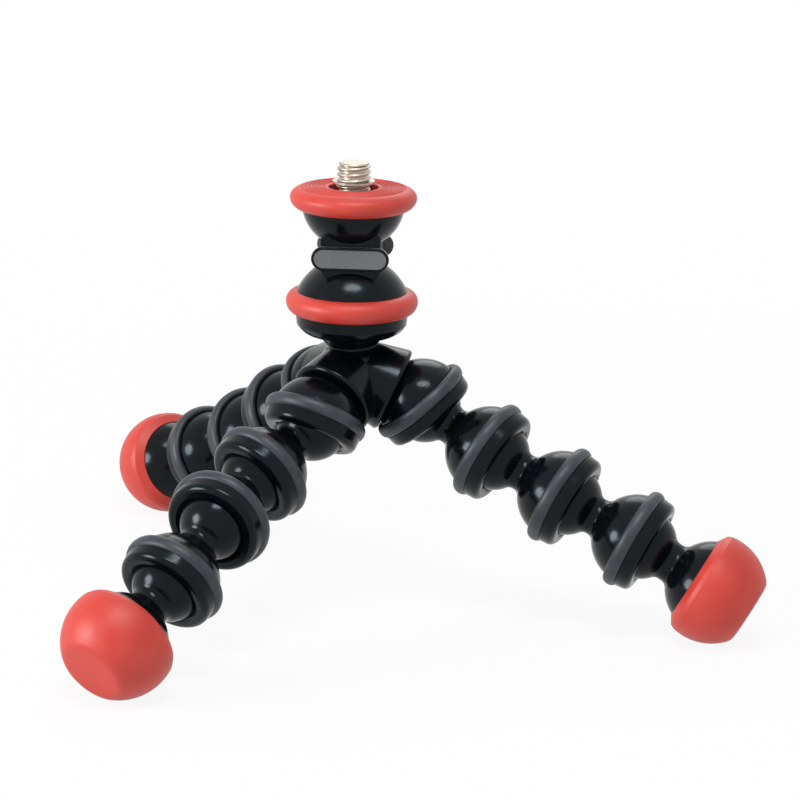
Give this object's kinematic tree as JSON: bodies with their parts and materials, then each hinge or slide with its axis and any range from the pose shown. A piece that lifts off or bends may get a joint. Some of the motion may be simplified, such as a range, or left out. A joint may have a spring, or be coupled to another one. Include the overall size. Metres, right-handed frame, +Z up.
{
  "type": "flexible leg tripod",
  "caption": "Small camera tripod with bendable ball-and-socket legs, rubber grip rings, magnetic rubber feet, and a ball head with a padded threaded camera stud.",
  "frame": {"origin": "on the floor, at the middle of the ground that the posed tripod covers", "axes": "+Z up along the camera stud, +Y towards the back of the head, +X to the right as seen from the front"},
  "size_m": [0.1275, 0.1368, 0.0852],
  "materials": {
    "black_plastic": "glossy moulded black plastic",
    "grey_rubber": "matt dark grey rubber",
    "red_rubber": "matt coral red rubber",
    "grey_plastic": "satin dark grey plastic",
    "bright_steel": "nickel plated steel",
    "magnet_plating": "nickel plated magnet"
  },
  "bodies": {
    "hub": {"hub": "black_plastic", "right_root_socket": "black_plastic", "right_root_grip": "grey_rubber", "back_root_socket": "black_plastic", "back_root_grip": "grey_rubber", "front_root_socket": "black_plastic", "front_root_grip": "grey_rubber"},
    "right_link_1": {"right_link_1": "black_plastic", "right_grip_1": "grey_rubber"},
    "right_link_2": {"right_link_2": "black_plastic", "right_grip_2": "grey_rubber"},
    "right_link_3": {"right_link_3": "black_plastic", "right_grip_3": "grey_rubber"},
    "right_foot": {"right_foot_core": "black_plastic", "right_foot_boot": "red_rubber", "right_foot_magnet": "magnet_plating"},
    "back_link_1": {"back_link_1": "black_plastic", "back_grip_1": "grey_rubber"},
    "back_link_2": {"back_link_2": "black_plastic", "back_grip_2": "grey_rubber"},
    "back_link_3": {"back_link_3": "black_plastic", "back_grip_3": "grey_rubber"},
    "back_foot": {"back_foot_core": "black_plastic", "back_foot_boot": "red_rubber", "back_foot_magnet": "magnet_plating"},
    "front_link_1": {"front_link_1": "black_plastic", "front_grip_1": "grey_rubber"},
    "front_link_2": {"front_link_2": "black_plastic", "front_grip_2": "grey_rubber"},
    "front_link_3": {"front_link_3": "black_plastic", "front_grip_3": "grey_rubber"},
    "front_foot": {"front_foot_core": "black_plastic", "front_foot_boot": "red_rubber", "front_foot_magnet": "magnet_plating"},
    "head_collar": {"head_collar": "black_plastic"},
    "head": {"head_body": "black_plastic", "head_ring": "red_rubber", "waist_plate_front": "grey_plastic", "waist_plate_back": "grey_plastic", "camera_pad": "red_rubber", "camera_stud": "bright_steel", "stud_keeper": "bright_steel"}
  },
  "joints": [
    {"name": "right_link_1_ball", "type": "hinge", "parent": "hub", "child": "right_link_1", "pos_m": [0.00025, -0.00214, 0.03879], "axis": [-0.5856, -0.6713, -0.4544], "range_deg": [-61, 6]},
    {"name": "right_link_2_ball", "type": "hinge", "parent": "right_link_1", "child": "right_link_2", "pos_m": [0.01317, -0.00846, 0.03149], "axis": [0.3945, -0.1642, 0.9041], "range_deg": [-37, 30]},
    {"name": "right_link_3_ball", "type": "hinge", "parent": "right_link_2", "child": "right_link_3", "pos_m": [0.02664, -0.01407, 0.0246], "axis": [-0.342, -0.9397, 0], "range_deg": [-34, 33]},
    {"name": "right_foot_ball", "type": "hinge", "parent": "right_link_3", "child": "right_foot", "pos_m": [0.04039, -0.01908, 0.0178], "axis": [0.4693, -0.1275, 0.8738], "range_deg": [-38, 29]},
    {"name": "back_link_1_ball", "type": "hinge", "parent": "hub", "child": "back_link_1", "pos_m": [-0.01799, 0.01176, 0.03812], "axis": [0.55, 0.7284, 0.4086], "range_deg": [-61, 6]},
    {"name": "back_link_2_ball", "type": "hinge", "parent": "back_link_1", "child": "back_link_2", "pos_m": [-0.02679, 0.02279, 0.03031], "axis": [-0.2425, 0.4268, 0.8712], "range_deg": [-26, 41]},
    {"name": "back_link_3_ball", "type": "hinge", "parent": "back_link_2", "child": "back_link_3", "pos_m": [-0.03374, 0.03501, 0.02239], "axis": [0.7826, 0.6225, 0], "range_deg": [-37, 29]},
    {"name": "back_foot_ball", "type": "hinge", "parent": "back_link_3", "child": "back_foot", "pos_m": [-0.04279, 0.04639, 0.01539], "axis": [-0.1975, 0.265, 0.9438], "range_deg": [-31, 35]},
    {"name": "front_link_1_ball", "type": "hinge", "parent": "hub", "child": "front_link_1", "pos_m": [-0.02086, -0.01098, 0.03727], "axis": [-0.6882, 0.7137, -0.1307], "range_deg": [-64, 3]},
    {"name": "front_link_2_ball", "type": "hinge", "parent": "front_link_1", "child": "front_link_2", "pos_m": [-0.03066, -0.02172, 0.03027], "axis": [-0.1376, -0.2711, 0.9527], "range_deg": [-47, 18]},
    {"name": "front_link_3_ball", "type": "hinge", "parent": "front_link_2", "child": "front_link_3", "pos_m": [-0.03761, -0.03542, 0.02537], "axis": [-0.8329, 0.5534, 0], "range_deg": [-21, 45]},
    {"name": "front_foot_ball", "type": "hinge", "parent": "front_link_3", "child": "front_foot", "pos_m": [-0.04538, -0.04712, 0.01742], "axis": [-0.2753, -0.3707, 0.887], "range_deg": [-31, 36]},
    {"name": "head_tilt", "type": "hinge", "parent": "hub", "child": "head_collar", "pos_m": [-0.0139, -0.00097, 0.05548], "axis": [-0.4467, 0.8947, 0], "range_deg": [-23, 16]},
    {"name": "head_turn", "type": "hinge", "parent": "head_collar", "child": "head", "pos_m": [-0.0139, -0.00097, 0.05548], "axis": [0, 0, 1], "continuous": true}
  ]
}
